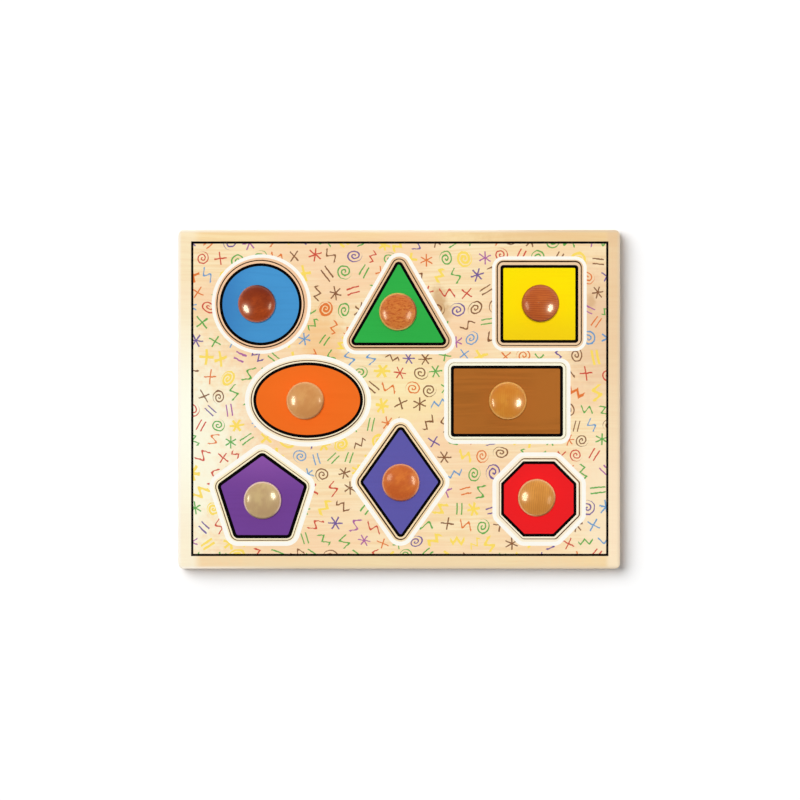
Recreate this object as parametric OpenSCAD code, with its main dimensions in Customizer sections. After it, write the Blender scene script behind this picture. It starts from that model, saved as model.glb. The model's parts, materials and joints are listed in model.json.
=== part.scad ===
// Knob puzzle: a printed board with eight wells, a flat tile in each well and a turned knob on each tile.
// X runs to the right, Y to the back and Z up. The origin lies under the middle of the board.

/* [Board] */
// Length of the board, left to right
board_length = 400; // [380:1:440]
// Depth of the board, front to back
board_depth = 307; // [290:1:340]
// Radius of the board's upright corners
board_corner_r = 5; // [2:0.5:9]
// Thickness of the face board, and so the depth of the wells
face_thick = 9; // [7:0.5:11]
// Thickness of the back board that closes the wells from below
back_thick = 3; // [2:0.5:5]

/* [Tiles] */
// Gap all round between a tile and its well
tile_clearance = 0.6; // [0.4:0.1:1]
// Diameter of the round tile
circle_d = 78.4; // [70:0.2:84]
// Width of the triangular tile
triangle_width = 89.8; // [82:0.2:94]
// Height of the triangular tile, from its base to its top
triangle_height = 79.8; // [72:0.2:84]
// Corner radius of the triangular tile
triangle_corner_r = 6; // [3:0.2:9]
// Side of the square tile
square_side = 75.6; // [68:0.2:82]
// Corner radius of the square tile
square_corner_r = 5.4; // [3:0.2:9]
// Length of the oval tile
oval_length = 102.4; // [96:0.2:108]
// Depth of the oval tile
oval_depth = 71.4; // [66:0.2:76]
// Length of the rectangular tile
rectangle_length = 106.4; // [96:0.2:112]
// Depth of the rectangular tile
rectangle_depth = 69.2; // [62:0.2:76]
// Corner radius of the rectangular tile
rectangle_corner_r = 5.2; // [3:0.2:9]
// Width of the pentagonal tile over its widest corners
pentagon_width = 84.2; // [78:0.2:88]
// Corner radius of the pentagonal tile
pentagon_corner_r = 6.8; // [3:0.2:10]
// Width of the diamond tile
diamond_width = 76.6; // [70:0.2:82]
// Height of the diamond tile
diamond_height = 103.4; // [96:0.2:108]
// Corner radius of the diamond tile
diamond_corner_r = 6; // [3:0.2:9]
// Width of the octagonal tile across its flats
octagon_width = 72.2; // [68:0.2:80]
// Corner radius of the octagonal tile
octagon_corner_r = 3.4; // [2:0.2:8]

/* [Knobs] */
// Diameter of a knob's head
knob_d = 34; // [32:0.5:36]
// Height of a knob above its tile
knob_height = 20; // [19:0.5:24]
// Radius of the dome on a knob's head
dome_r = 27; // [24:0.5:40]
// Radius of the rounded rim of the head
rim_r = 5; // [4:0.25:5.5]
// Diameter of the neck, where the knob stands on its tile
neck_d = 17; // [14:0.5:20]
// Radius of the hollow under the head, where fingertips hold it
cove_r = 5.5; // [4:0.25:6.5]

/* [Screws] */
// Length of a screw, head included
screw_length = 24; // [20:1:26]
// Diameter of a screw's shank
shank_d = 3.6; // [3:0.1:4.5]
// Diameter of a screw's countersunk head
head_d = 7.6; // [6.6:0.1:9]
// Height of the straight edge round the head
head_edge = 0.4; // [0.2:0.1:0.8]
// Length of the pointed tip
tip_length = 5; // [3:0.5:7]
// Depth of the cross slot in the head
slot_depth = 1.4; // [1:0.1:1.8]
// Width of one arm of the cross slot
slot_width = 1; // [0.8:0.1:1.3]
// How far the head lies inside the underside of its tile
head_sink = 0.4; // [0.2:0.1:0.8]
// Gap between a screw and the wood round it
screw_clearance = 0.1; // [0.05:0.05:0.2]

/* [Hidden] */
$fn = 96;
shapes = ["circle", "triangle", "square", "oval", "rectangle", "pentagon", "diamond", "octagon"];

// How far a cut runs past the face that it opens
overrun = 1;
// Straight steps in each rounded stretch of a knob's profile
arc_steps = 14;
// How far an outline's straight sides lie inside its corner circles
side_inset = 0.004;

// The tiles are cut out of the face board, so they are as thick as it is
tile_thick = face_thick;
tile_bottom = back_thick;
tile_top = tile_bottom + tile_thick;

// Distance between the columns of wells and between their rows, which spread over the board
column_pitch = 0.315 * board_length;
row_pitch = 0.2811 * board_depth;
// Middle of each well, in the order of shapes, as shares of the column pitch and the row pitch
well_place_shares = [
    [-0.997, 1], [-0.001, 1.006], [1.007, 1.0075],
    [-0.656, -0.01], [0.7765, -0.018],
    [-0.985, -1.052], [0.0088, -0.869], [1.009, -1.044]
];
// How far each tile lies off the middle of its well, as shares of the clearance there
tile_shift_shares = [
    [-0.1, 0.2], [0, 0.4], [0.1, -0.5],
    [0, 0.3], [0, 0],
    [0.3, 0.1], [0.4, 0], [-0.6, -0.3]
];
// Where each knob stands off the middle of its tile, as shares of the tile's width and height
knob_place_shares = [
    [-0.04, 0.0005], [-0.012, -0.098], [0.0095, 0.002],
    [-0.0228, -0.0077], [0.0024, 0.0052],
    [0.004, -0.007], [0.0007, -0.0025], [-0.0337, 0.018]
];

tile_sizes = [
    [circle_d, circle_d],
    [triangle_width, triangle_height],
    [square_side, square_side],
    [oval_length, oval_depth],
    [rectangle_length, rectangle_depth],
    [pentagon_width, pentagon_width],
    [diamond_width, diamond_height],
    [octagon_width, octagon_width]
];
// The round tile and the oval tile have no corners
tile_corner_radii = [
    0,
    triangle_corner_r,
    square_corner_r,
    0,
    rectangle_corner_r,
    pentagon_corner_r,
    diamond_corner_r,
    octagon_corner_r
];

// The centres of an outline's round corners, listed anticlockwise
function box_core(size, r) =
    let (x = size.x / 2 - r, y = size.y / 2 - r)
    [[-x, -y], [x, -y], [x, y], [-x, y]];
function triangle_core(size, r) =
    let (x = size.x / 2 - r, y = size.y / 2 - r)
    [[-x, -y], [x, -y], [0, y]];
function diamond_core(size, r) =
    let (x = size.x / 2 - r, y = size.y / 2 - r)
    [[x, 0], [0, y], [-x, 0], [0, -y]];
function ring_core(sides, r, turn) =
    [for (i = [0 : sides - 1]) r * [cos(turn + 360 * i / sides), sin(turn + 360 * i / sides)]];
// A pentagon with its point up is widest at the corners 18 degrees above its middle
function pentagon_core(width, r) = ring_core(5, (width / 2 - r) / cos(18), 90);
function octagon_core(width, r) = ring_core(8, (width / 2 - r) / cos(22.5), 22.5);

tile_cores = [
    [],
    triangle_core(tile_sizes[1], triangle_corner_r),
    box_core(tile_sizes[2], square_corner_r),
    [],
    box_core(tile_sizes[4], rectangle_corner_r),
    pentagon_core(pentagon_width, pentagon_corner_r),
    diamond_core(tile_sizes[6], diamond_corner_r),
    octagon_core(octagon_width, octagon_corner_r)
];

function well_place(i) =
    [well_place_shares[i].x * column_pitch, well_place_shares[i].y * row_pitch];
function tile_place(i) = well_place(i) + tile_shift_shares[i] * tile_clearance;
function knob_place(i) = tile_place(i) + [
    knob_place_shares[i].x * tile_sizes[i].x,
    knob_place_shares[i].y * tile_sizes[i].y
];

// The profile of a knob is a dome, a rounded rim and a hollow, each tangent to the next
rim_x = knob_d / 2 - rim_r;
dome_z = knob_height - dome_r;
rim_z = dome_z + sqrt(pow(dome_r - rim_r, 2) - pow(rim_x, 2));
cove_x = neck_d / 2 + cove_r;
cove_z = rim_z - sqrt(pow(rim_r + cove_r, 2) - pow(cove_x - rim_x, 2));
dome_angle = atan2(rim_z - dome_z, rim_x);
cove_angle = atan2(rim_z - cove_z, rim_x - cove_x);

// Points along an arc, without its first one
function arc_points(centre, r, from, to) = [
    for (step = [1 : arc_steps])
        let (angle = from + (to - from) * step / arc_steps)
        centre + r * [cos(angle), sin(angle)]
];
knob_profile = concat(
    [[0, 0], [neck_d / 2, 0], [neck_d / 2, cove_z]],
    arc_points([cove_x, cove_z], cove_r, 180, cove_angle),
    arc_points([rim_x, rim_z], rim_r, cove_angle - 180, dome_angle),
    arc_points([0, dome_z], dome_r, dome_angle, 90)
);

// The ends of an outline's straight side, which lies a corner radius out from the core.
// It stays a hair inside the corner circles, so that it crosses them instead of grazing them.
function side_ends(a, b, r) =
    let (along = (b - a) / norm(b - a), out = (r - side_inset) * [along.y, -along.x])
    [a + out, b + out];

// A flat outline with round corners about the points of its core.
// Each corner's circle starts and ends on its inner side, so that its arc stays in one piece.
module rounded_outline(core, r) {
    for (centre = core) translate(centre) rotate(atan2(-centre.y, -centre.x)) circle(r);
    polygon([for (i = [0 : len(core) - 1]) each side_ends(core[i], core[(i + 1) % len(core)], r)]);
}

// The outline of a tile, or with grow above zero that of the well it lies in
module tile_outline(i, grow = 0) {
    if (shapes[i] == "circle")
        circle(circle_d / 2 + grow);
    else if (shapes[i] == "oval")
        scale([oval_length / 2 + grow, oval_depth / 2 + grow]) circle(1);
    else
        rounded_outline(tile_cores[i], tile_corner_radii[i] + grow);
}

module board_outline() {
    rounded_outline(box_core([board_length, board_depth], board_corner_r), board_corner_r);
}

// A screw standing on its head, or with grow above zero the hole it fits, open below
module screw_body(grow = 0, below = 0) {
    cone_height = (head_d - shank_d) / 2;
    rotate_extrude()
        polygon([
            [0, -below],
            [head_d / 2 + grow, -below],
            [head_d / 2 + grow, head_edge],
            [shank_d / 2 + grow, head_edge + cone_height],
            [shank_d / 2 + grow, screw_length - tip_length],
            [0, screw_length + grow]
        ]);
}

// Puts its children where a tile's screw stands
module at_screw(i) {
    translate([knob_place(i).x, knob_place(i).y, tile_bottom + head_sink]) children();
}

module screw_hole(i) {
    at_screw(i) screw_body(grow = screw_clearance, below = head_sink + overrun);
}

module back_board() {
    color("tan") linear_extrude(back_thick) board_outline();
}

module face_board() {
    color("wheat") translate([0, 0, back_thick]) linear_extrude(face_thick) difference() {
        board_outline();
        for (i = [0 : len(shapes) - 1]) translate(well_place(i)) tile_outline(i, tile_clearance);
    }
}

tile_colours = ["#4A90D2", "#31B34A", "#F8DA08", "#F27020", "#A8662A", "#7842A0", "#5E57A8", "#E91E26"];

module tile(i) {
    color(tile_colours[i]) difference() {
        translate([tile_place(i).x, tile_place(i).y, tile_bottom])
            linear_extrude(tile_thick) tile_outline(i);
        screw_hole(i);
    }
}

knob_colours = ["#8E3A20", "#CC7430", "#BA5E2C", "#D8A468", "#D48A38", "#C8AE80", "#D0743A", "#D28C44"];

module knob(i) {
    color(knob_colours[i]) difference() {
        translate([knob_place(i).x, knob_place(i).y, tile_top]) rotate_extrude() polygon(knob_profile);
        screw_hole(i);
    }
}

module screw(i) {
    slot_length = head_d / 2;
    color("silver") at_screw(i) difference() {
        screw_body();
        for (turn = [0, 90]) rotate(turn)
            translate([-slot_length / 2, -slot_width / 2, -overrun])
                cube([slot_length, slot_width, slot_depth + overrun]);
    }
}

back_board();
face_board();
for (i = [0 : len(shapes) - 1]) {
    tile(i);
    knob(i);
    screw(i);
}
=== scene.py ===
import json
import math

import bmesh
import bpy
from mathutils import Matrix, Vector

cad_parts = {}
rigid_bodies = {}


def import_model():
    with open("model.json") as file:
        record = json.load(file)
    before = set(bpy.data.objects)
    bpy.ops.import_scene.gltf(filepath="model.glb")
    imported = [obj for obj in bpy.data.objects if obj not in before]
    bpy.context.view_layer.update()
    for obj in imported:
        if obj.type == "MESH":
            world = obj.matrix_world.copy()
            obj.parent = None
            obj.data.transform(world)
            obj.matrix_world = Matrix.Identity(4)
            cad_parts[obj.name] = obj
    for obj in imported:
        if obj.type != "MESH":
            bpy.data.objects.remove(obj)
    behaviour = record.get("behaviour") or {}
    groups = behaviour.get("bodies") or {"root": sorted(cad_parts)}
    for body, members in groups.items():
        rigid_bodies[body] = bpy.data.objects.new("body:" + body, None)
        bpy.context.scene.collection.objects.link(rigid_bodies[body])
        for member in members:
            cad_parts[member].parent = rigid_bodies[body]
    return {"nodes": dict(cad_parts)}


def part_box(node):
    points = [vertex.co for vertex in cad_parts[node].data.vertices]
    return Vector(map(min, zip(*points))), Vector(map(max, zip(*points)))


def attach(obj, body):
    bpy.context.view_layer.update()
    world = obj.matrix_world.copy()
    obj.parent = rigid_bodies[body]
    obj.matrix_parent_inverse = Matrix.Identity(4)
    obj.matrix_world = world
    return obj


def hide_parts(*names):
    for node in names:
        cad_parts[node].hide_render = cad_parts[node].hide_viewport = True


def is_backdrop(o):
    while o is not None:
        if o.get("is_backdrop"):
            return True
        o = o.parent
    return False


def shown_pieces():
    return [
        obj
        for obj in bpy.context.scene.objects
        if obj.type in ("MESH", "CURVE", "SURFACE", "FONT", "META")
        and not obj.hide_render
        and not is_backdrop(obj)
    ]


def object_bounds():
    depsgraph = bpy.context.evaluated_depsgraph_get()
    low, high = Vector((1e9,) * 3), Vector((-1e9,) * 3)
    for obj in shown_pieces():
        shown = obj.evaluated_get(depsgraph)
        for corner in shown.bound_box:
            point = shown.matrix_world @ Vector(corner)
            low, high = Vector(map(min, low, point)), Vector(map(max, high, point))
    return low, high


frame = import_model()
cadLow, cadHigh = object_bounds()
print("puzzle: CAD frame loaded,", len(frame["nodes"]), "nodes")

mm = 0.001
tiny = 1e-6                   # heights closer than this are the same
boardLow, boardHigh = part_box("face_board")
boardTop, boardBottom = boardHigh.z, boardLow.z
shapeNames = ["circle", "triangle", "square", "oval", "rectangle", "pentagon", "diamond", "octagon"]

# Lengths of the printed board in millimetres
board = {
    "cornerRadius": 5,
    "edgeRound": 0.9,
    "edgeSteps": 4,
    "footRound": 0.5,
    "footSteps": 3,
    "frameLength": 378.1,     # outer size of the black frame line
    "frameDepth": 285.1,
    "frameShift": (0.51, 0.51),
    "frameLine": 2.1,
    "lipShare": 0.42,         # softened edge of a well, as a share of its gap
    "lipFlat": 0.05,
    "lipSteps": 2,
    "floorLine": 2.4,         # printed line on the floor of a well
    "floorLineInset": 3.0,
    "floorGapShade": 0.5,       # how far the floor is painted in the cut tone on both sides of the cut, as painted shade of the gap
}

# Each tile in millimetres: its corner radius and how far it lies off the middle of its well, then the print.
# The ink values give the black outline's outer and inner edges, inwards from the tile's outline. The band
# values give the white band's inner and outer edges, outwards from it. Prints lie a little off centre.
# The gap lies between the tile and its well, the cut is the tone of the softened edges that face each other
# over it, the cut wood's own tone set per tile as painted shade of the gap, and the wood is the tone of the
# bare strips beside them.
tiles = {
    "circle": {
        "corner": 0, "shift": (-0.06, 0.12),
        "ink": (1.97, 4.54), "inkShift": (0.2, -0.39),
        "band": (2.75, 5.85), "bandShift": (0.74, 0),
        "gap": 0.6, "cut": (64, 38, 22), "wood": (249, 206, 166),
    },
    "triangle": {
        "corner": 6, "shift": (0, 0.24),
        "ink": (1.94, 4.6), "inkShift": (-0.26, -0.32),
        "band": (2.72, 6.03), "bandShift": (0.2, -0.07),
        "gap": 0.6, "cut": (88, 54, 32), "wood": (236, 198, 156),
    },
    "square": {
        "corner": 5.4, "shift": (0.06, -0.3),
        "ink": (2.5, 5.2), "inkShift": (0, -0.25),
        "band": (2.12, 5.05), "bandShift": (0.12, -0.35),
        "gap": 0.6, "cut": (58, 36, 22), "wood": (242, 209, 170),
    },
    "oval": {
        "corner": 0, "shift": (0, 0.18),
        "ink": (1.49, 4.2), "inkShift": (0.14, -0.08),
        "band": (2.26, 6.03), "bandShift": (0.03, -0.16),
        "gap": 0.52, "cut": (140, 94, 56), "wood": (252, 238, 206),
    },
    "rectangle": {
        "corner": 5.2, "shift": (0, 0),
        "ink": (2.36, 5.1), "inkShift": (-0.26, -0.13),
        "band": (1.05, 4.1), "bandShift": (0.1, -0.1),
        "gap": 0.12, "cut": (228, 204, 156), "wood": (254, 250, 224),
    },
    "pentagon": {
        "corner": 6.8, "shift": (0.18, 0.06),
        "ink": (1.71, 4.73), "inkShift": (-0.07, -0.09),
        "band": (1.78, 5.68), "bandShift": (-0.08, 0.48),
        "gap": 0.36, "cut": (208, 164, 114), "wood": (254, 242, 206),
    },
    "diamond": {
        "corner": 6, "shift": (0.24, 0),
        "ink": (1.87, 4.5), "inkShift": (-0.03, 0.06),
        "band": (2.42, 6.14), "bandShift": (0.02, 0.16),
        "gap": 0.6, "cut": (72, 44, 26), "wood": (250, 224, 180),
    },
    "octagon": {
        "corner": 3.4, "shift": (-0.36, -0.18),
        "ink": (1.96, 4.59), "inkShift": (-0.35, 0.02),
        "band": (2.66, 6.22), "bandShift": (-0.38, -0.25),
        "gap": 0.48, "cut": (208, 164, 116), "wood": (254, 242, 216),
    },
}
tileFinish = {
    "edgeRound": 0.3,
    "topSteps": 3,
    "bottomSteps": 2,
    "leastCorner": 1.2,       # smallest corner radius that the printing gives
    "chord": 0.3,             # length of the short straight pieces that round corners are made of
    "roundSides": 192,        # sides of the round tile and the oval tile
}


# Modelling helpers

def clearSelection():
    if bpy.context.object and bpy.context.object.mode != "OBJECT":
        bpy.ops.object.mode_set(mode="OBJECT")
    bpy.ops.object.select_all(action="DESELECT")


def makeActive(piece):
    clearSelection()
    piece.select_set(True)
    bpy.context.view_layer.objects.active = piece


def editMode(piece):
    makeActive(piece)
    bpy.ops.object.mode_set(mode="EDIT")


def objectMode():
    bpy.ops.object.mode_set(mode="OBJECT")


def pick(piece, kind, wanted):
    # selects the faces or edges that wanted says yes to
    bpy.ops.mesh.select_mode(type=kind)
    bpy.ops.mesh.select_all(action="DESELECT")
    mesh = bmesh.from_edit_mesh(piece.data)
    for part in (mesh.faces if kind == "FACE" else mesh.edges):
        if wanted(part):
            part.select_set(True)
    bmesh.update_edit_mesh(piece.data)


def isTopFace(face):
    return face.normal.z > 0.9


def isWall(face):
    return abs(face.normal.z) < 0.1


def edgeAt(height):
    return lambda edge: all(abs(v.co.z - height) < tiny for v in edge.verts)


def paintPicked(piece, slotIndex):
    piece.active_material_index = slotIndex
    bpy.ops.object.material_slot_assign()


def paintFaces(piece, wanted, slotIndex):
    pick(piece, "FACE", wanted)
    paintPicked(piece, slotIndex)


def deleteFaces(piece, wanted, kind="FACE"):
    # the kind ONLY_FACE leaves the faces' edges in place
    pick(piece, "FACE", wanted)
    bpy.ops.mesh.delete(type=kind)


def turnOutwards():
    bpy.ops.mesh.select_all(action="SELECT")
    bpy.ops.mesh.normals_make_consistent(inside=False)


def joinPieces(pieces, name):
    if len(pieces) == 1:
        makeActive(pieces[0])
        pieces[0].name = pieces[0].data.name = name
        return pieces[0]
    clearSelection()
    for piece in pieces:
        piece.select_set(True)
    bpy.context.view_layer.objects.active = pieces[0]
    bpy.ops.object.join()
    joined = bpy.context.object
    joined.name = joined.data.name = name
    return joined


def giveMaterials(piece, materials):
    piece.data.materials.clear()
    for material in materials:
        piece.data.materials.append(material)


def settle(piece):
    # place, turn and size go into the mesh, and the object comes to the origin
    makeActive(piece)
    bpy.ops.object.transform_apply(location=True, rotation=True, scale=True)


def shadeSmooth(piece, degrees=30):
    makeActive(piece)
    bpy.ops.object.shade_smooth_by_angle(angle=math.radians(degrees))


def ringPoints(count, radius, turn, centre):
    angles = [math.radians(turn + 360 * i / count) for i in range(count)]
    return [(centre[0] + radius * math.cos(a), centre[1] + radius * math.sin(a)) for a in angles]


def centreOf(node):
    low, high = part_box(node)
    return (low + high) / 2


def wellShift(shape):
    # how far the well lies off the middle of its tile
    x, y = tiles[shape]["shift"]
    return -x, -y


def outlineOf(shape):
    # the centres of the tile's round corners and their radius, in metres, from the CAD tile's own box
    low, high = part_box(shape + "_tile")
    centre = (low + high) / 2
    corner = tiles[shape]["corner"] * mm
    x, y = (high.x - low.x) / 2 - corner, (high.y - low.y) / 2 - corner
    cx, cy = centre.x, centre.y
    if shape == "triangle":
        points = [(cx - x, cy - y), (cx + x, cy - y), (cx, cy + y)]
    elif shape in ("square", "rectangle"):
        points = [(cx - x, cy - y), (cx + x, cy - y), (cx + x, cy + y), (cx - x, cy + y)]
    elif shape == "diamond":
        points = [(cx + x, cy), (cx, cy + y), (cx - x, cy), (cx, cy - y)]
    elif shape == "pentagon":
        radius = x / math.cos(math.radians(18))
        points = ringPoints(5, radius, 90, (cx, low.y + corner + radius * math.cos(math.radians(36))))
    elif shape == "octagon":
        points = ringPoints(8, x / math.cos(math.radians(22.5)), 22.5, (cx, cy))
    else:
        points = [(cx, cy)]
    return points, corner, (x, y)


def cornerSides(radius):
    # a multiple of 24 suits the corners of every tile
    wanted = 2 * math.pi * radius / (tileFinish["chord"] * mm)
    return 24 * min(4, max(1, round(wanted / 24)))


def roundedBlock(name, points, radius, low, high, stretch=None):
    # posts stand at the round corners, and a skin round them gives the block its straight sides
    posts = []
    for x, y in points:
        bpy.ops.mesh.primitive_cylinder_add(
            vertices=tileFinish["roundSides"] if stretch else cornerSides(radius),
            radius=1 if stretch else radius,
            depth=high - low,
            location=(x, y, (low + high) / 2),
        )
        post = bpy.context.object
        if stretch:
            post.scale = (stretch[0], stretch[1], 1)
        posts.append(post)
    block = joinPieces(posts, name)
    settle(block)
    editMode(block)
    bpy.ops.mesh.select_all(action="SELECT")
    if len(points) > 1:
        bpy.ops.mesh.convex_hull()
        bpy.ops.mesh.select_all(action="SELECT")
        bpy.ops.mesh.dissolve_limited(angle_limit=math.radians(0.5))
    objectMode()
    return block


def shrunk(points, distance):
    # the outline with every side moved inwards
    moved = []
    for i, point in enumerate(points):
        here, before, after = Vector(point), Vector(points[i - 1]), Vector(points[(i + 1) % len(points)])
        one, two = (here - before).normalized(), (after - here).normalized()
        inward = Vector((-one.y - two.y, one.x + two.x)) / (1 + one.dot(two))
        moved.append(tuple(here + inward * distance))
    return moved


def shapeBlock(name, shape, grow, low, high, shift=(0, 0)):
    # a block with the tile's outline, grown or shrunk all round, off the tile's middle by shift
    points, corner, half = outlineOf(shape)
    points = [(x + shift[0] * mm, y + shift[1] * mm) for x, y in points]
    if not corner:
        return roundedBlock(name, points, 1, low, high, (half[0] + grow, half[1] + grow))
    missing = max(0, tileFinish["leastCorner"] * mm - corner - grow)
    return roundedBlock(name, shrunk(points, missing), corner + grow + missing, low, high)


def softenEdges(piece, height, amount, segments):
    # rounds the block's edges at one height, those that bend by more than 1 radian
    pick(piece, "EDGE", lambda edge: edgeAt(height)(edge) and edge.calc_face_angle(0) > 1)
    bpy.ops.mesh.bevel(offset=amount, segments=segments, affect="EDGES")


def shapeLoop(shape, grow, height, shift):
    # the tile's outline as a bare loop of edges
    loop = shapeBlock(shape + "Loop", shape, grow, height - 1 * mm, height, shift)
    editMode(loop)
    deleteFaces(loop, lambda face: not isTopFace(face))
    deleteFaces(loop, isTopFace, "ONLY_FACE")
    objectMode()
    return loop


def fillBetween(piece, wanted, slotIndex):
    # closes the flat stretch inside the open edges that wanted picks
    pick(piece, "EDGE", lambda edge: (edge.is_boundary or edge.is_wire) and wanted(edge))
    bpy.ops.mesh.fill(use_beauty=True)
    paintPicked(piece, slotIndex)


def printRing(piece, shape, grow, height, shift, slotIndex):
    # carries the piece's flat top on from its open edge to a printed outline, which is bridged while it hangs
    # a little higher, where the two loops can't be crossed over
    lift = 1 * mm
    piece = joinPieces([piece, shapeLoop(shape, grow, height + lift, shift)], piece.name)
    editMode(piece)
    atEdge, atPrint = edgeAt(height), edgeAt(height + lift)
    pick(piece, "EDGE", lambda edge: (edge.is_boundary or edge.is_wire) and (atEdge(edge) or atPrint(edge)))
    bpy.ops.mesh.bridge_edge_loops()
    paintPicked(piece, slotIndex)
    pick(piece, "EDGE", atPrint)
    bpy.ops.transform.translate(value=(0, 0, -lift))
    objectMode()
    return piece


def deleteTop(piece):
    deleteFaces(piece, lambda face: face.normal.z > 0.999, "ONLY_FACE")


# Material helpers

def ink(red, green, blue):
    # a colour as it is seen on screen, made linear
    def linear(value):
        value = value / 255
        return value / 12.92 if value <= 0.04045 else ((value + 0.055) / 1.055) ** 2.4
    return (linear(red), linear(green), linear(blue), 1)


def feed(tree, value, socket):
    if isinstance(value, bpy.types.NodeSocket):
        tree.links.new(value, socket)
    elif value is not None:
        socket.default_value = value


def sums(tree, operation, *values):
    node = tree.nodes.new("ShaderNodeMath")
    node.operation = operation
    for value, socket in zip(values, node.inputs):
        feed(tree, value, socket)
    return node.outputs[0]


def plus(tree, *values):
    return sums(tree, "ADD", *values)


def minus(tree, *values):
    return sums(tree, "SUBTRACT", *values)


def times(tree, *values):
    return sums(tree, "MULTIPLY", *values)


def vectorSums(tree, operation, *values):
    node = tree.nodes.new("ShaderNodeVectorMath")
    node.operation = operation
    for value, socket in zip(values, node.inputs):
        feed(tree, value, socket)
    return node.outputs["Value"] if operation == "LENGTH" else node.outputs["Vector"]


def scaled(tree, vector, scale):
    return vectorSums(tree, "MULTIPLY", vector, scale)


def noise(tree, vector, scale, detail=2.0, rough=0.5, distortion=0.0):
    node = tree.nodes.new("ShaderNodeTexNoise")
    feed(tree, vector, node.inputs["Vector"])
    feed(tree, scale, node.inputs["Scale"])
    node.inputs["Detail"].default_value = detail
    node.inputs["Roughness"].default_value = rough
    node.inputs["Distortion"].default_value = distortion
    return node.outputs["Fac"]


def remap(tree, value, fromLow, fromHigh, toLow=0.0, toHigh=1.0):
    node = tree.nodes.new("ShaderNodeMapRange")
    node.interpolation_type = "SMOOTHSTEP"
    for socket, part in zip(("Value", "From Min", "From Max", "To Min", "To Max"),
                            (value, fromLow, fromHigh, toLow, toHigh)):
        feed(tree, part, node.inputs[socket])
    return node.outputs["Result"]


def mixColour(tree, amount, first, second, blend="MIX"):
    node = tree.nodes.new("ShaderNodeMix")
    node.data_type = "RGBA"
    node.blend_type = blend
    feed(tree, amount, node.inputs["Factor"])
    feed(tree, first, node.inputs[6])
    feed(tree, second, node.inputs[7])
    return node.outputs[2]


def combine(tree, x, y, z=0.0):
    node = tree.nodes.new("ShaderNodeCombineXYZ")
    for value, socket in zip((x, y, z), node.inputs):
        feed(tree, value, socket)
    return node.outputs[0]


def separate(tree, vector):
    node = tree.nodes.new("ShaderNodeSeparateXYZ")
    feed(tree, vector, node.inputs[0])
    return node.outputs[0], node.outputs[1], node.outputs[2]


def newGroup(name, numbers, outputs):
    # every group reads a vector, and some read numbers besides
    group = bpy.data.node_groups.new(name, "ShaderNodeTree")
    addSocket = group.interface.new_socket
    addSocket(name="Vector", in_out="INPUT", socket_type="NodeSocketVector")
    for label, value in numbers.items():
        addSocket(name=label, in_out="INPUT", socket_type="NodeSocketFloat").default_value = value
    for label in outputs:
        kind = "NodeSocketColor" if label == "Color" else "NodeSocketFloat"
        addSocket(name=label, in_out="OUTPUT", socket_type=kind)
    return group, group.nodes.new("NodeGroupInput").outputs, group.nodes.new("NodeGroupOutput").inputs


def useGroup(tree, group, **values):
    node = tree.nodes.new("ShaderNodeGroup")
    node.node_tree = group
    for label, value in values.items():
        feed(tree, value, node.inputs[label])
    return node.outputs


def objectPlace(tree, location=(0, 0, 0), turn=0.0, stretch=(1, 1, 1)):
    # Object coordinates in millimetres about a point, turned about Z
    coordinates = tree.nodes.new("ShaderNodeTexCoord").outputs["Object"]
    mapping = tree.nodes.new("ShaderNodeMapping")
    mapping.vector_type = "TEXTURE"
    mapping.inputs["Location"].default_value = location
    mapping.inputs["Rotation"].default_value = (0, 0, math.radians(turn))
    mapping.inputs["Scale"].default_value = tuple(mm * s for s in stretch)
    tree.links.new(coordinates, mapping.inputs["Vector"])
    return mapping.outputs["Vector"]


def newMaterial(name, roughness, specular, metallic=0.0):
    material = bpy.data.materials.new(name)
    material.use_nodes = True
    tree = material.node_tree
    shader = tree.nodes["Principled BSDF"]
    shader.inputs["Roughness"].default_value = roughness
    shader.inputs["Specular IOR Level"].default_value = specular
    shader.inputs["Metallic"].default_value = metallic
    return material, tree, shader


def dressShader(tree, shader, colour, relief, strength, distance=0.0001):
    tree.links.new(colour, shader.inputs["Base Color"])
    bump = tree.nodes.new("ShaderNodeBump")
    bump.inputs["Strength"].default_value = strength
    bump.inputs["Distance"].default_value = distance
    tree.links.new(relief, bump.inputs["Height"])
    tree.links.new(bump.outputs["Normal"], shader.inputs["Normal"])


# Node groups that several materials share

def noiseLayer(tree, vector, scale, detail, rough, low, high):
    # noise at a scale of its own for each direction, of which the range from low to high shows
    return remap(tree, noise(tree, scaled(tree, vector, scale), 1.0, detail, rough), low, high)


# Birch veneer with its grain along X. A layer gives its scales per millimetre along X, Y and Z, its detail
# and roughness, and the range of the noise that shows.
veneer = {
    "bend": 14.0,
    "bendScale": (0.006, 0.02, 1),
    "streaks": ((0.012, 0.32, 1), 3.0, 0.55, 0.36, 0.66),
    "fibres": ((0.07, 2.6, 1), 2.0, 0.6, 0.3, 0.7),
    "patches": ((0.011, 0.019, 1), 2.0, 0.5, 0.38, 0.62),
}


def makeVeneerGroup():
    # long soft streaks, fine fibres and broad warm patches
    group, inlet, outlet = newGroup("birchVeneer", {}, ["Streaks", "Fibres", "Patches"])
    place = inlet["Vector"]
    x, y, z = separate(group, place)
    bend = noise(group, scaled(group, place, veneer["bendScale"]), 1.0, 1.0)
    bent = combine(group, x, plus(group, y, times(group, bend, veneer["bend"])), z)
    group.links.new(noiseLayer(group, bent, *veneer["streaks"]), outlet["Streaks"])
    group.links.new(noiseLayer(group, bent, *veneer["fibres"]), outlet["Fibres"])
    group.links.new(noiseLayer(group, place, *veneer["patches"]), outlet["Patches"])
    return group


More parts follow.
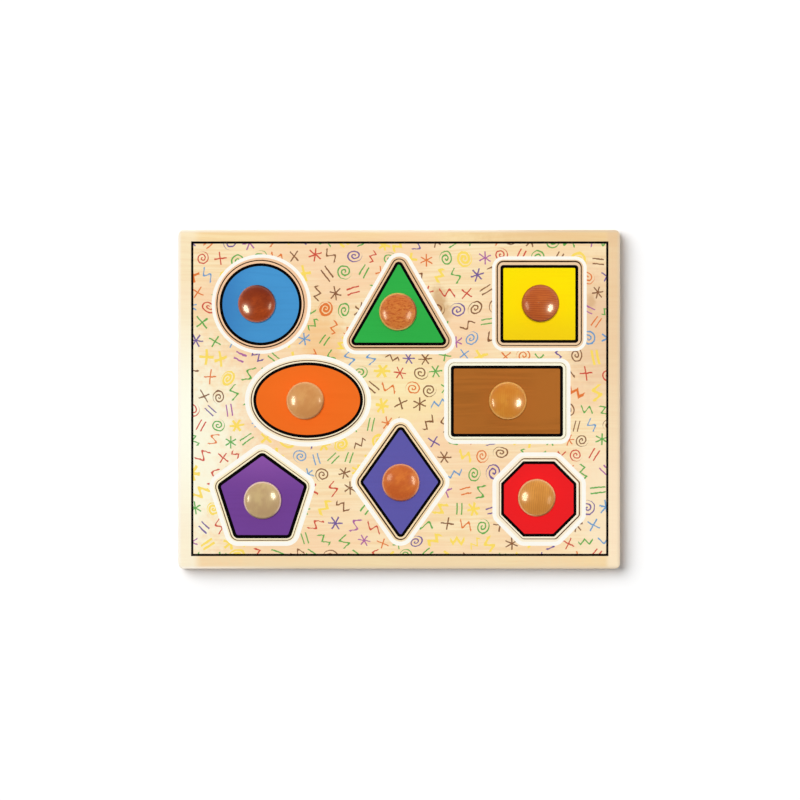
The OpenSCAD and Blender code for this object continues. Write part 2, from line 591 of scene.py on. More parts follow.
# Printed scatter of crayon strokes, lengths in millimetres
crayon = {
    "cellWidth": 17.0,
    "cellHeight": 15.0,
    "cellsAside": 40,         # cells to the left of the middle and in front of it, more than the board holds
    "wander": (2.3, 1.3),     # how far a motif strays from the middle of its cell
    "drift": 16,              # bends the rows and columns of cells
    "driftScale": 0.016,
    "driftApart": (900.0, 400.0, 0.0),
    "lotsApart": (57.0, 31.0, 9.0),
    "wobble": 1.6,            # shakes the strokes
    "wobbleScale": 0.35,
    "size": 1.2,
    "strokeHalf": 0.5,
    "yellowExtra": 0.42,
    "gritScale": 1.5,         # the wood's tooth makes the strokes ragged and broken
    "gritDetail": (2.0, 0.7),
    "ragged": 0.44,
    "softEdge": 0.18,
    "leastInk": 0.72,
    "moreInk": 0.4,
    "zigzagReach": 5.0,
    "zigzagStart": 50.0,
    "zigzagStep": 3.3,
    "zigzagSlope": 1.3,
    "zigzagMiddle": 2.15,
    "zigzagSteep": 0.61,      # narrows the steep strokes
    "waveReach": 5.2,
    "waveHeight": 2.3,
    "waveBend": 0.82,
    "waveSteep": 0.6,
    "crossReach": 4.4,
    "dashReach": 4.2,
    "dashApart": 1.9,
    "starReach": 4.5,
    "starArms": 6,
    "coilReach": 4.9,
    "coilPitch": 2.7,
    "coilStart": 10.5,
    "inks": {                 # tone of each crayon and its share of the strokes
        "red": ((205, 45, 30), 0.11),
        "orange": ((226, 110, 30), 0.09),
        "yellow": ((252, 220, 88), 0.16),
        "green": ((60, 165, 60), 0.24),
        "blue": ((80, 150, 205), 0.08),
        "violet": ((90, 62, 150), 0.06),
        "purple": ((165, 80, 160), 0.06),
        "brown": ((120, 66, 30), 0.2),
    },
}


def crayonMotifs(group, place, radius, angle):
    # distance of a point from the middle of the stroke, for each motif
    x, y = place
    absX, absY = sums(group, "ABSOLUTE", x), sums(group, "ABSOLUTE", y)
    step, slope = crayon["zigzagStep"], crayon["zigzagSlope"]
    zigzagY = times(group, sums(group, "PINGPONG", plus(group, x, crayon["zigzagStart"]), step), slope)
    fromZigzag = sums(group, "ABSOLUTE", minus(group, y, minus(group, zigzagY, crayon["zigzagMiddle"])))
    waveY = times(group, sums(group, "SINE", times(group, x, crayon["waveBend"])), crayon["waveHeight"])
    fromWave = sums(group, "ABSOLUTE", minus(group, y, waveY))
    armX, armY = sums(group, "MINIMUM", absX, absY), sums(group, "MAXIMUM", absX, absY)
    fromDash = sums(group, "ABSOLUTE", minus(group, absY, crayon["dashApart"]))
    offSpoke = sums(group, "PINGPONG", angle, math.pi / crayon["starArms"])
    fromSpoke = times(group, radius, sums(group, "SINE", offSpoke))
    pitch = crayon["coilPitch"]
    coilTurn = minus(group, sums(group, "DIVIDE", radius, pitch), sums(group, "DIVIDE", angle, 2 * math.pi))
    coilPart = sums(group, "FRACT", plus(group, coilTurn, crayon["coilStart"]))
    coilGap = sums(group, "ABSOLUTE", minus(group, coilPart, 0.5))
    strokes = [
        (times(group, fromZigzag, crayon["zigzagSteep"]), absX, crayon["zigzagReach"]),
        (times(group, fromWave, crayon["waveSteep"]), absX, crayon["waveReach"]),
        (armX, armY, crayon["crossReach"]),
        (fromDash, absX, crayon["dashReach"]),
        (fromSpoke, radius, crayon["starReach"]),
        (times(group, coilGap, pitch), radius, crayon["coilReach"]),
    ]
    return [sums(group, "MAXIMUM", aside, minus(group, along, reach)) for aside, along, reach in strokes]


def crayonInks(group, hue):
    # the ink that a lot between 0 and 1 falls on, and whether it is yellow
    ramp = group.nodes.new("ShaderNodeValToRGB")
    ramp.color_ramp.interpolation = "CONSTANT"
    starts, start = {}, 0
    for name, (tone, share) in crayon["inks"].items():
        starts[name] = start
        start += share
    elements = ramp.color_ramp.elements
    while len(elements) < len(starts):
        elements.new(0.5)
    for element, start in zip(elements, starts.values()):
        element.position = start
    for element, (tone, share) in zip(elements, crayon["inks"].values()):
        element.color = ink(*tone)
    group.links.new(hue, ramp.inputs["Fac"])
    halfShare = crayon["inks"]["yellow"][1] / 2
    isYellow = sums(group, "COMPARE", hue, starts["yellow"] + halfShare, halfShare)
    return ramp.outputs["Color"], isYellow


def makeCrayonGroup():
    # a bent lattice of cells, each with one motif that is placed, turned and coloured by lot
    group, inlet, outlet = newGroup("crayonStrokes", {}, ["Color", "Mask"])
    place = inlet["Vector"]

    def shaken(value, lot, reach):
        return plus(group, value, times(group, minus(group, lot, 0.5), reach))

    straightX, straightY, z = separate(group, place)
    scale = crayon["driftScale"]
    driftX = noise(group, scaled(group, place, (scale, scale, 0.0)), 1.0, 1.0)
    driftY = noise(group, vectorSums(group, "ADD", place, crayon["driftApart"]), scale, 1.0)
    x = shaken(straightX, driftX, crayon["drift"])
    y = shaken(straightY, driftY, crayon["drift"])
    width, height, aside = crayon["cellWidth"], crayon["cellHeight"], crayon["cellsAside"]
    shiftedY = plus(group, y, aside * height)
    row = sums(group, "FLOOR", sums(group, "DIVIDE", shiftedY, height))
    halfCell = times(group, sums(group, "MODULO", row, 2.0), width / 2)
    shiftedX = plus(group, plus(group, x, aside * width), halfCell)
    column = sums(group, "FLOOR", sums(group, "DIVIDE", shiftedX, width))
    cell = combine(group, column, row, 0.0)
    lotA = group.nodes.new("ShaderNodeTexWhiteNoise")
    lotB = group.nodes.new("ShaderNodeTexWhiteNoise")
    group.links.new(cell, lotA.inputs["Vector"])
    group.links.new(vectorSums(group, "ADD", cell, crayon["lotsApart"]), lotB.inputs["Vector"])
    alongX, alongY, turn = separate(group, lotA.outputs["Color"])
    kind, hue, extra = separate(group, lotB.outputs["Color"])

    def fromMiddle(value, index, size, lot, wander):
        centred = minus(group, value, times(group, plus(group, index, 0.5), size))
        return minus(group, centred, times(group, minus(group, lot, 0.5), 2 * wander))

    localX = fromMiddle(shiftedX, column, width, alongX, crayon["wander"][0])
    localY = fromMiddle(shiftedY, row, height, alongY, crayon["wander"][1])
    localY = shaken(localY, noise(group, place, crayon["wobbleScale"], 1.0), crayon["wobble"])
    flat = vectorSums(group, "DIVIDE", combine(group, localX, localY), (crayon["size"], crayon["size"], 1))
    turned = group.nodes.new("ShaderNodeVectorRotate")
    turned.rotation_type = "Z_AXIS"
    group.links.new(flat, turned.inputs["Vector"])
    group.links.new(times(group, turn, 2 * math.pi), turned.inputs["Angle"])
    px, py, pz = separate(group, turned.outputs["Vector"])
    radius = vectorSums(group, "LENGTH", turned.outputs["Vector"])
    angle = plus(group, sums(group, "ARCTAN2", py, px), math.pi)

    motifs = crayonMotifs(group, (px, py), radius, angle)
    number = sums(group, "FLOOR", times(group, kind, len(motifs) - 0.001))
    distance = 0.0
    for i, motif in enumerate(motifs):
        distance = plus(group, distance, times(group, motif, sums(group, "COMPARE", number, float(i), 0.5)))

    colour, isYellow = crayonInks(group, hue)
    grit = noise(group, place, crayon["gritScale"], *crayon["gritDetail"])
    half = shaken(crayon["strokeHalf"], grit, crayon["ragged"])
    half = plus(group, half, times(group, isYellow, crayon["yellowExtra"]))
    soft = crayon["softEdge"]
    mask = remap(group, minus(group, distance, half), -soft, soft, 1.0, 0.0)
    cover = plus(group, crayon["leastInk"], times(group, grit, crayon["moreInk"]))
    group.links.new(colour, outlet["Color"])
    group.links.new(sums(group, "MINIMUM", times(group, mask, cover), 1.0), outlet["Mask"])
    return group


# Cut edges of the plywood, lengths in millimetres. The fibres are a layer as in the veneer, and each pair of
# tones is the lighter and the darker ply. Finishes give roughness and specular.
plies = {
    "face": 1.8,
    "back": 1.0,
    "countFrom": 10.0,        # even, so that the lowest ply is a light one
    "waver": 0.2,
    "waverScale": (0.05, 0.05, 0),
    "glueLine": (0.03, 0.09),
    "fibres": ((0.8, 0.8, 4.0), 3.0, 0.6, 0.3, 0.7),
    "glueTone": (140, 98, 60),
    "outerTones": ((226, 190, 136), (196, 150, 98)),
    "sawnTones": ((150, 104, 64), (112, 78, 48)),
    "cutDark": 0.75,          # darker ply of a softened cut edge, as a share of the lighter
    "glue": 0.7,
    "shade": 0.3,
    "finish": (0.7, 0.2),
    "bump": (0.3, 0.0002),
}


def makePlyGroup():
    # light and dark plies in turn along Z
    numbers = {"Ply": plies["face"], "Bottom": 0.0}
    group, inlet, outlet = newGroup("plyLayers", numbers, ["Layer", "Glue Line", "Fibres"])
    place = inlet["Vector"]
    x, y, z = separate(group, place)
    waver = times(group, noise(group, scaled(group, place, plies["waverScale"]), 1.0, 1.0), plies["waver"])
    raised = plus(group, minus(group, z, inlet["Bottom"]), waver)
    counted = plus(group, sums(group, "DIVIDE", raised, inlet["Ply"]), plies["countFrom"])
    part = sums(group, "FRACT", counted)
    edge = sums(group, "MINIMUM", part, minus(group, 1.0, part))
    group.links.new(sums(group, "MODULO", sums(group, "FLOOR", counted), 2.0), outlet["Layer"])
    group.links.new(remap(group, edge, *plies["glueLine"], 1.0, 0.0), outlet["Glue Line"])
    group.links.new(noiseLayer(group, place, *plies["fibres"]), outlet["Fibres"])
    return group


# Turned wood with its grain along X, in millimetres. Pores and patches are layers as in the veneer.
turning = {
    "bend": 5.0,
    "bendScale": (0.03, 0.08, 0.08),
    "lineApart": 1.9,
    "fadeScale": (0.06, 0.3, 0.3),
    "lineRange": (0.1, 1.0),
    "pores": ((0.3, 0.7, 0.7), 2.0, 0.7, 0.44, 0.68),
    "patches": ((0.07, 0.11, 0.11), 2.0, 0.5, 0.38, 0.62),
    # the rim carries a painted reflection round the upper edge of a knob's head, with painted shade on its
    # far side
    "rimFrom": 0.915,         # where the rim starts, as a share of the head's radius
    "rimReflectionStrength": 0.85,
    "rimFade": (-0.95, -0.3),
    "rimShade": 0.8,
    "rimWidth": 0.35,
    "rimBelow": -1.6,         # the rim's tone fades in from here up to rimAbove
    "rimAbove": 0.4,
}


def makeTurnedGroup():
    # fine lines, short pores, broad soft patches and the upper rim of a knob's head, where a painted
    # reflection goes
    numbers = {"Rim Radius": 16.0, "Rim Height": 11.0}
    group, inlet, outlet = newGroup("turnedWood", numbers, ["Lines", "Pores", "Patches", "Rim"])
    place = inlet["Vector"]
    x, y, z = separate(group, place)
    bend = noise(group, scaled(group, place, turning["bendScale"]), 1.0, 1.0)
    across = plus(group, y, times(group, bend, turning["bend"]))
    fade = noise(group, scaled(group, place, turning["fadeScale"]), 1.0, 1.0)
    wave = sums(group, "SINE", times(group, across, 2 * math.pi / turning["lineApart"]))
    lines = times(group, plus(group, wave, 1.0), fade)
    radius = vectorSums(group, "LENGTH", combine(group, x, y))
    rimStart = inlet["Rim Radius"]
    outside = remap(group, radius, rimStart, plus(group, rimStart, turning["rimWidth"]))
    above = minus(group, z, inlet["Rim Height"])
    upper = remap(group, above, turning["rimBelow"], turning["rimAbove"])
    group.links.new(remap(group, lines, *turning["lineRange"]), outlet["Lines"])
    group.links.new(noiseLayer(group, place, *turning["pores"]), outlet["Pores"])
    group.links.new(noiseLayer(group, place, *turning["patches"]), outlet["Patches"])
    group.links.new(times(group, outside, upper), outlet["Rim"])
    return group


veneerGroup = makeVeneerGroup()
crayonGroup = makeCrayonGroup()
plyGroup = makePlyGroup()
turnedGroup = makeTurnedGroup()

# Tones of the wood. The printed field is paler than the bare wood round it. The bare left end carries a
# painted highlight, and the right end is rosy. The eased outer edges carry a painted highlight towards the
# left and the back, and painted shade towards the right and the front. All of this lies on the top alone. A
# patch has its centre and half sizes in millimetres, its strength and its tone. A fade runs from one place to
# another, and may give the strength at both.
birch = {
    "finish": (0.5, 0.2),     # roughness and specular
    "bump": 0.12,
    "streaks": 0.6,
    "patches": 0.65,
    "fibres": 0.14,
    "tileWarm": 0.97,         # warm tone of a tile's wood, as a share of its own
    "field": {"pale": (254, 236, 196), "warm": (244, 207, 152), "pink": (251, 213, 174)},
    "bare": {"pale": (251, 226, 176), "warm": (243, 206, 148), "pink": (250, 215, 172)},
    # painted highlight on the bare left end, fading towards its inner edge, the back and the front
    "leftHighlight": (255, 254, 234),
    "leftHighlightEnd": (-188, -178, 1.0, 0.0),
    "leftHighlightBack": (-10, 120, 1.0, 0.3),
    "leftHighlightFront": (-140, -30, 0.6, 1.0),
    "rosyFront": (254, 238, 212),
    "rosyBack": (232, 198, 160),
    "rosyEnd": (186, 191, 0.0, 0.6),
    "rosyTurn": (-130, 100),
    # painted highlight and painted shade on the eased outer edges
    "edgeHighlight": (252, 245, 234),
    "edgeShade": (222, 203, 178),
    "edgeLightBand": (0.2, 3.4, 0.75, 0.0),
    "edgeShadeTurn": (-60, 40),
    "edgeShadeSlant": 0.8,
    "topOnly": (-2, -1),
    "raggedScale": 0.2,
    "ragged": 0.8,
    "patchFade": (0.7, 1.5),
    "fieldTonesAndPaintedLight": [
        # painted highlight: the bare left end's highlight carried on into the field
        (-210, -50, 95, 130, 1.0, (252, 248, 222)),
        (-70, 48, 26, 52, 0.55, (244, 190, 120)),
        (10, 5, 50, 50, 0.5, (254, 240, 178)),
        (178, 60, 30, 75, 0.5, (228, 188, 154)),
        (190, -95, 50, 80, 0.7, (252, 234, 200)),
        # painted shadows that the triangle's knob casts to its right
        (36, 90, 9, 16, 0.75, (206, 160, 108)),
        (41, 78, 9, 11, 0.5, (206, 160, 108)),
        # painted shadow that the square's knob casts to its right
        (174, 88, 5, 10, 0.5, (206, 160, 108)),
        # a faint darker patch in the same tone
        (-8, 42, 12, 6, 0.25, (206, 160, 108)),
    ],
    "marginPatches": [
        (150, 150, 120, 16, 0.45, (226, 188, 130)),
        (0, -150, 260, 16, 0.5, (238, 220, 180)),
    ],
}


def veneerColour(tree, vector, tones):
    grain = useGroup(tree, veneerGroup, Vector=vector)
    pale, warm, pink = [ink(*tones[name]) for name in ("pale", "warm", "pink")]
    base = mixColour(tree, times(tree, grain["Streaks"], birch["streaks"]), pale, warm)
    base = mixColour(tree, times(tree, grain["Patches"], birch["patches"]), base, pink)
    return mixColour(tree, times(tree, grain["Fibres"], birch["fibres"]), base, warm, "MULTIPLY"), grain


def addPatches(tree, place, wood, patches):
    ragged = times(tree, noise(tree, place, birch["raggedScale"], 2.0), birch["ragged"])
    for x, y, width, depth, strength, tone in patches:
        right, back, up = separate(tree, objectPlace(tree, (x * mm, y * mm, 0), 0, (width, depth, 1)))
        away = plus(tree, vectorSums(tree, "LENGTH", combine(tree, right, back)), ragged)
        shown = remap(tree, away, *birch["patchFade"], strength, 0.0)
        wood = mixColour(tree, shown, wood, ink(*tone))
    return wood


def makeBareBirch():
    material, tree, shader = newMaterial("bareBirch", *birch["finish"])
    place = objectPlace(tree)
    wood, grain = veneerColour(tree, place, birch["bare"])
    wood = addPatches(tree, place, wood, birch["marginPatches"])
    x, y, z = separate(tree, place)
    # painted highlight on the bare left end
    leftHighlightFades = times(tree, remap(tree, y, *birch["leftHighlightBack"]), remap(tree, y, *birch["leftHighlightFront"]))
    leftHighlightMask = times(tree, remap(tree, x, *birch["leftHighlightEnd"]), leftHighlightFades)
    topWithPaintedLight = mixColour(tree, leftHighlightMask, wood, ink(*birch["leftHighlight"]))
    rosy = remap(tree, y, *birch["rosyTurn"])
    rosy = mixColour(tree, rosy, ink(*birch["rosyFront"]), ink(*birch["rosyBack"]))
    topWithPaintedLight = mixColour(tree, remap(tree, x, *birch["rosyEnd"]), topWithPaintedLight, rosy)
    # painted highlight on the eased edges towards the left and the back, painted shade towards the right and
    # the front
    inX = minus(tree, cadHigh[0] / mm, sums(tree, "ABSOLUTE", x))
    inY = minus(tree, cadHigh[1] / mm, sums(tree, "ABSOLUTE", y))
    edgeLightMask = remap(tree, sums(tree, "MINIMUM", inX, inY), *birch["edgeLightBand"])
    edgeShadeSide = remap(tree, minus(tree, x, times(tree, y, birch["edgeShadeSlant"])), *birch["edgeShadeTurn"])
    edge = mixColour(tree, edgeShadeSide, ink(*birch["edgeHighlight"]), ink(*birch["edgeShade"]))
    topWithPaintedLight = mixColour(tree, edgeLightMask, topWithPaintedLight, edge)
    onTop = remap(tree, z, *[boardTop / mm + level for level in birch["topOnly"]])
    dressShader(tree, shader, mixColour(tree, onTop, wood, topWithPaintedLight), grain["Fibres"], birch["bump"])
    return material


def makeTileWood(name, tone):
    material, tree, shader = newMaterial(name, *birch["finish"])
    tones = {"pale": tone, "warm": [birch["tileWarm"] * part for part in tone], "pink": tone}
    wood, grain = veneerColour(tree, objectPlace(tree), tones)
    dressShader(tree, shader, wood, grain["Fibres"], birch["bump"])
    return material


def makeCrayonField():
    material, tree, shader = newMaterial("crayonField", *birch["finish"])
    place = objectPlace(tree)
    wood, grain = veneerColour(tree, place, birch["field"])
    # the patches hold painted light besides wood tone: a painted highlight at the left and painted knob
    # shadows
    wood = addPatches(tree, place, wood, birch["fieldTonesAndPaintedLight"])
    strokes = useGroup(tree, crayonGroup, Vector=place)
    printed = mixColour(tree, strokes["Mask"], wood, strokes["Color"])
    dressShader(tree, shader, printed, grain["Fibres"], birch["bump"])
    return material


# Inks: their finish is roughness and specular. Those of the board give their tone, the tone that the grain
# lets through and its strength.
printing = {
    "boardFinish": (0.45, 0.15),
    "tileFinish": (0.4, 0.2),
    "blackFinish": (0.6, 0.05),
    "fineShare": 0.25,
    "bump": 0.1,
    "white": ((254, 253, 244), (252, 247, 236), 0.5),
    "black": ((5, 4, 5), (14, 12, 11), 0.4),
    "floorStrength": 0.5,
}


def makeInk(name, colour, grainColour, grainAmount, finish, end=None):
    # ink that lets the grain through, and may turn to another tone towards one end
    material, tree, shader = newMaterial(name, *finish)
    grain = useGroup(tree, veneerGroup, Vector=objectPlace(tree))
    both = sums(tree, "MAXIMUM", grain["Streaks"], grain["Patches"])
    fine = printing["fineShare"] * grainAmount
    base = mixColour(tree, times(tree, both, grainAmount), ink(*colour), ink(*grainColour))
    base = mixColour(tree, times(tree, grain["Fibres"], fine), base, ink(*grainColour))
    if end:
        centre, angle, reach, endColour = end
        along, across, up = separate(tree, objectPlace(tree, centre, angle))
        base = mixColour(tree, remap(tree, along, 0.0, reach), base, ink(*endColour))
    dressShader(tree, shader, base, grain["Fibres"], printing["bump"])
    return material


def makePlyEdge(name, tones, ply=plies["face"], bottom=boardBottom / mm):
    pale, dark = [ink(*tone) for tone in tones]
    material, tree, shader = newMaterial(name, *plies["finish"])
    layers = useGroup(tree, plyGroup, Vector=objectPlace(tree), Ply=ply, Bottom=bottom)
    base = mixColour(tree, layers["Layer"], pale, dark)
    base = mixColour(tree, times(tree, layers["Glue Line"], plies["glue"]), base, ink(*plies["glueTone"]))
    base = mixColour(tree, times(tree, layers["Fibres"], plies["shade"]), base, dark)
    dressShader(tree, shader, base, layers["Fibres"], *plies["bump"])
    return material


def makeGapShadeCutEdge(shape):
    # the cut tone is painted shade of the gap between tile and well, over the cut wood's own tone
    tone = tiles[shape]["cut"]
    return makePlyEdge(shape + "GapShadeCutEdge", (tone, [plies["cutDark"] * part for part in tone]))


bareBirch = makeBareBirch()
crayonField = makeCrayonField()
whiteInk = makeInk("whiteInk", *printing["white"], printing["boardFinish"])
blackInk = makeInk("blackInk", *printing["black"], printing["blackFinish"])
outerEdge = makePlyEdge("outerPlyEdge", plies["outerTones"])
backEdge = makePlyEdge("backPlyEdge", plies["outerTones"], plies["back"], 0.0)
sawnEdge = makePlyEdge("sawnPlyEdge", plies["sawnTones"])
gapShadeCutEdges = {shape: makeGapShadeCutEdge(shape) for shape in shapeNames}
tileWoods = {shape: makeTileWood(shape + "TileWood", tiles[shape]["wood"]) for shape in shapeNames}
print("puzzle: wood and ink ready")


# Face board with its eight wells

def rectanglePoints(length, depth):
    x, y = length / 2, depth / 2
    return [(-x, -y), (x, -y), (x, y), (-x, y)]


def boardBlock(name, low, high, topRound, bottomRound):
    corner = board["cornerRadius"] * mm
    points = rectanglePoints(boardHigh.x - boardLow.x - 2 * corner, boardHigh.y - boardLow.y - 2 * corner)
    block = roundedBlock(name, points, corner, low, high)
    editMode(block)
    if topRound:
        softenEdges(block, high, topRound * mm, board["edgeSteps"])
    if bottomRound:
        softenEdges(block, low, bottomRound * mm, board["footSteps"])
    objectMode()
    return block


def wellRing(shape, materials):
    # the walls of one well, with the bare rim and the white band round it
    look = tiles[shape]
    away = wellShift(shape)
    lip = board["lipShare"] * look["gap"] * mm
    flat = lip + board["lipFlat"] * mm
    reach = look["gap"] * mm + flat
    ring = shapeBlock(shape + "Well", shape, reach, boardBottom, boardTop, away)
    giveMaterials(ring, materials + [gapShadeCutEdges[shape], tileWoods[shape], sawnEdge])
    editMode(ring)
    deleteFaces(ring, lambda face: not isTopFace(face))
    pick(ring, "FACE", isTopFace)
    bpy.ops.mesh.inset(thickness=flat)
    bpy.ops.mesh.extrude_region_move(TRANSFORM_OT_translate={"value": (0, 0, boardBottom - boardTop)})
    bpy.ops.mesh.delete(type="ONLY_FACE")
    softenEdges(ring, boardTop, lip, board["lipSteps"])
    # the softened lip takes the cut tone, painted shade of the gap
    paintFaces(ring, lambda face: face.normal.z < 0.99, len(materials))
    paintFaces(ring, isWall, len(materials) + 2)
    objectMode()
    shift = (away[0] + look["bandShift"][0], away[1] + look["bandShift"][1])
    ring = printRing(ring, shape, look["band"][0] * mm, boardTop, shift, len(materials) + 1)
    return printRing(ring, shape, look["band"][1] * mm, boardTop, shift, 2)


def makeFaceBoard():
    materials = [bareBirch, crayonField, whiteInk, blackInk, outerEdge]
    rim = boardBlock("rim", boardBottom, boardTop, board["edgeRound"], 0)
    giveMaterials(rim, materials)
    editMode(rim)
    paintFaces(rim, lambda face: -0.9 < face.normal.z < 0.3, 4)
    deleteFaces(rim, lambda face: abs(face.normal.z) > 0.999, "ONLY_FACE")
    objectMode()

    shiftX, shiftY = [part * mm for part in board["frameShift"]]
    bpy.ops.mesh.primitive_plane_add(size=1, location=(shiftX, shiftY, boardTop))
    line = bpy.context.object
    line.scale = (board["frameLength"] * mm, board["frameDepth"] * mm, 1)
    settle(line)
    giveMaterials(line, materials)
    editMode(line)
    bpy.ops.mesh.select_all(action="SELECT")
    paintPicked(line, 3)
    bpy.ops.mesh.inset(thickness=board["frameLine"] * mm)
    bpy.ops.mesh.delete(type="ONLY_FACE")
    objectMode()

    rings = [wellRing(shape, materials) for shape in shapeNames]
    piece = joinPieces([rim, line] + rings, "face_board_printed")
    editMode(piece)
    outX = board["frameLength"] * mm / 2 - tiny
    outY = board["frameDepth"] * mm / 2 - tiny

    def beyondLine(edge):
        middle = (edge.verts[0].co + edge.verts[1].co) / 2
        return abs(middle.x - shiftX) > outX or abs(middle.y - shiftY) > outY

    atTop, atBottom = edgeAt(boardTop), edgeAt(boardBottom)
    fillBetween(piece, lambda edge: atTop(edge) and beyondLine(edge), 0)
    fillBetween(piece, lambda edge: atTop(edge) and not beyondLine(edge), 1)
    fillBetween(piece, atBottom, 0)
    bpy.ops.mesh.select_all(action="SELECT")
    bpy.ops.mesh.remove_doubles(threshold=1e-7)
    turnOutwards()
    objectMode()
    shadeSmooth(piece)
    settle(piece)
    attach(piece, "board")
    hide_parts("face_board")
    return piece


faceBoard = makeFaceBoard()
print("puzzle: face board", len(faceBoard.data.polygons), "faces")


# Tiles

# Printed colour of each tile, and the tone that its grain lets through. Some turn to another tone towards one
# end, which is given by its angle and its distance from the middle in millimetres.
tileInks = {
    "circle": {"colour": (72, 153, 212), "grain": (68, 145, 204), "amount": 0.6,
               "end": (180, 44, (58, 126, 190))},
    "triangle": {"colour": (49, 179, 74), "grain": (44, 170, 68), "amount": 0.4},
    "square": {"colour": (255, 232, 0), "grain": (252, 222, 4), "amount": 0.6,
               "end": (-90, 34, (246, 210, 16))},
    "oval": {"colour": (243, 112, 33), "grain": (238, 106, 28), "amount": 0.4},
    "rectangle": {"colour": (160, 96, 36), "grain": (177, 106, 41), "amount": 0.9},
    "pentagon": {"colour": (115, 67, 151), "grain": (111, 63, 144), "amount": 0.6,
                 "end": (90, 44, (140, 84, 168))},
    "diamond": {"colour": (95, 90, 171), "grain": (92, 87, 165), "amount": 0.5},
    "octagon": {"colour": (239, 32, 37), "grain": (232, 30, 34), "amount": 0.5},
}

# Lengths of a screw and its hole in millimetres
screw = {
    "headRadius": 3.8,
    "shankRadius": 1.8,
    "headEdge": 0.4,
    "sink": 0.4,
    "gap": 0.1,
    "overrun": 1,             # how far the cutter reaches past the tile
    "spinSteps": 48,
}


def drawProfile(name, points):
    # a line through the points in the XZ plane, drawn one stretch at a time
    bpy.ops.mesh.primitive_plane_add(size=0.001, location=(0, 0, 0))
    piece = bpy.context.object
    piece.name = piece.data.name = name
    bpy.ops.object.mode_set(mode="EDIT")
    bpy.ops.mesh.select_mode(type="VERT")
    bpy.ops.mesh.select_all(action="SELECT")
    bpy.ops.mesh.merge(type="CENTER")
    bpy.ops.transform.translate(value=(points[0][0], 0, points[0][1]))
    for (x0, z0), (x1, z1) in zip(points, points[1:]):
        bpy.ops.mesh.extrude_region_move(TRANSFORM_OT_translate={"value": (x1 - x0, 0, z1 - z0)})
    return piece


def spinProfile(piece, steps):
    bpy.ops.mesh.select_all(action="SELECT")
    bpy.ops.mesh.spin(steps=steps, angle=2 * math.pi, center=(0, 0, 0), axis=(0, 0, 1))
    bpy.ops.mesh.select_all(action="SELECT")
    bpy.ops.mesh.remove_doubles(threshold=tiny)
    turnOutwards()
    objectMode()


def makeScrewCutter():
    head, shank = [screw[part + "Radius"] + screw["gap"] for part in ("head", "shank")]
    seat = screw["sink"] + screw["headEdge"]
    low, high = -screw["overrun"], (boardTop - boardBottom) / mm + screw["overrun"]
    points = [(0, low), (head, low), (head, seat), (shank, seat + head - shank), (shank, high), (0, high)]
    cutter = drawProfile("screwCutter", [(x * mm, z * mm) for x, z in points])
    spinProfile(cutter, screw["spinSteps"])
    return cutter


def copyPiece(piece, name):
    makeActive(piece)
    bpy.ops.object.duplicate(linked=False)
    copy = bpy.context.object
    copy.name = copy.data.name = name
    return copy


def makeTile(shape, cutter):
    look = tileInks[shape]
    low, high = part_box(shape + "_tile")
    end = (centreOf(shape + "_tile"), *look["end"]) if "end" in look else None
    finish = printing["tileFinish"]
    paint = makeInk(shape + "Ink", look["colour"], look["grain"], look["amount"], finish, end)
    tile = shapeBlock(shape + "_tile_printed", shape, 0, low.z, high.z)
    giveMaterials(tile, [tileWoods[shape], blackInk, paint, gapShadeCutEdges[shape], sawnEdge])
    soft = tileFinish["edgeRound"] * mm
    editMode(tile)
    softenEdges(tile, high.z, soft, tileFinish["topSteps"])
    softenEdges(tile, low.z, soft, tileFinish["bottomSteps"])
    # the softened edges take the cut tone, painted shade of the gap
    paintFaces(tile, lambda face: abs(face.normal.z) < 0.99, 3)
    paintFaces(tile, isWall, 4)
    deleteTop(tile)
    objectMode()
    outer, inner = tiles[shape]["ink"]
    shift = tiles[shape]["inkShift"]
    tile = printRing(tile, shape, -outer * mm, high.z, shift, 0)
    tile = printRing(tile, shape, -inner * mm, high.z, shift, 1)
    editMode(tile)
    fillBetween(tile, edgeAt(high.z), 2)
    turnOutwards()
    objectMode()

    place = centreOf(shape + "_knob")
    hole = copyPiece(cutter, "hole")
    hole.location = (place.x, place.y, low.z)
    makeActive(tile)
    cut = tile.modifiers.new("screwHole", "BOOLEAN")
    cut.operation = "DIFFERENCE"
    cut.solver = "EXACT"
    cut.object = hole
    bpy.ops.object.modifier_apply(modifier=cut.name)
    bpy.data.objects.remove(hole)
    shadeSmooth(tile)
    settle(tile)
    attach(tile, shape + "_piece")
    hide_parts(shape + "_tile")
    return tile


screwCutter = makeScrewCutter()
tilePieces = [makeTile(shape, screwCutter) for shape in shapeNames]
bpy.data.objects.remove(screwCutter)
print("puzzle: eight printed tiles")


# Knobs

# Lengths of a knob in millimetres
knob = {
    "headRadius": 17,
    "height": 20,
    "domeRadius": 27,
    "rimRadius": 5,
    "neckRadius": 8.5,
    "coveRadius": 5.5,
    "dimpleRadius": 0.9,
    "dimpleDepth": 0.22,
    "dimpleBend": (0.55, 0.6),    # where its side bends, as shares of its radius and depth
    "boreDepth": 15.9,
    "boreTip": 4,             # height of the bore's pointed end
    "arcSteps": 14,
    "spinSteps": 96,
    "smoothBelow": 35,        # edges that bend by fewer degrees are shaded smooth
}

lacquer = {"roughness": 0.3, "specular": 0.2, "coat": 0.35, "coatRoughness": 0.14, "bump": 0.06}
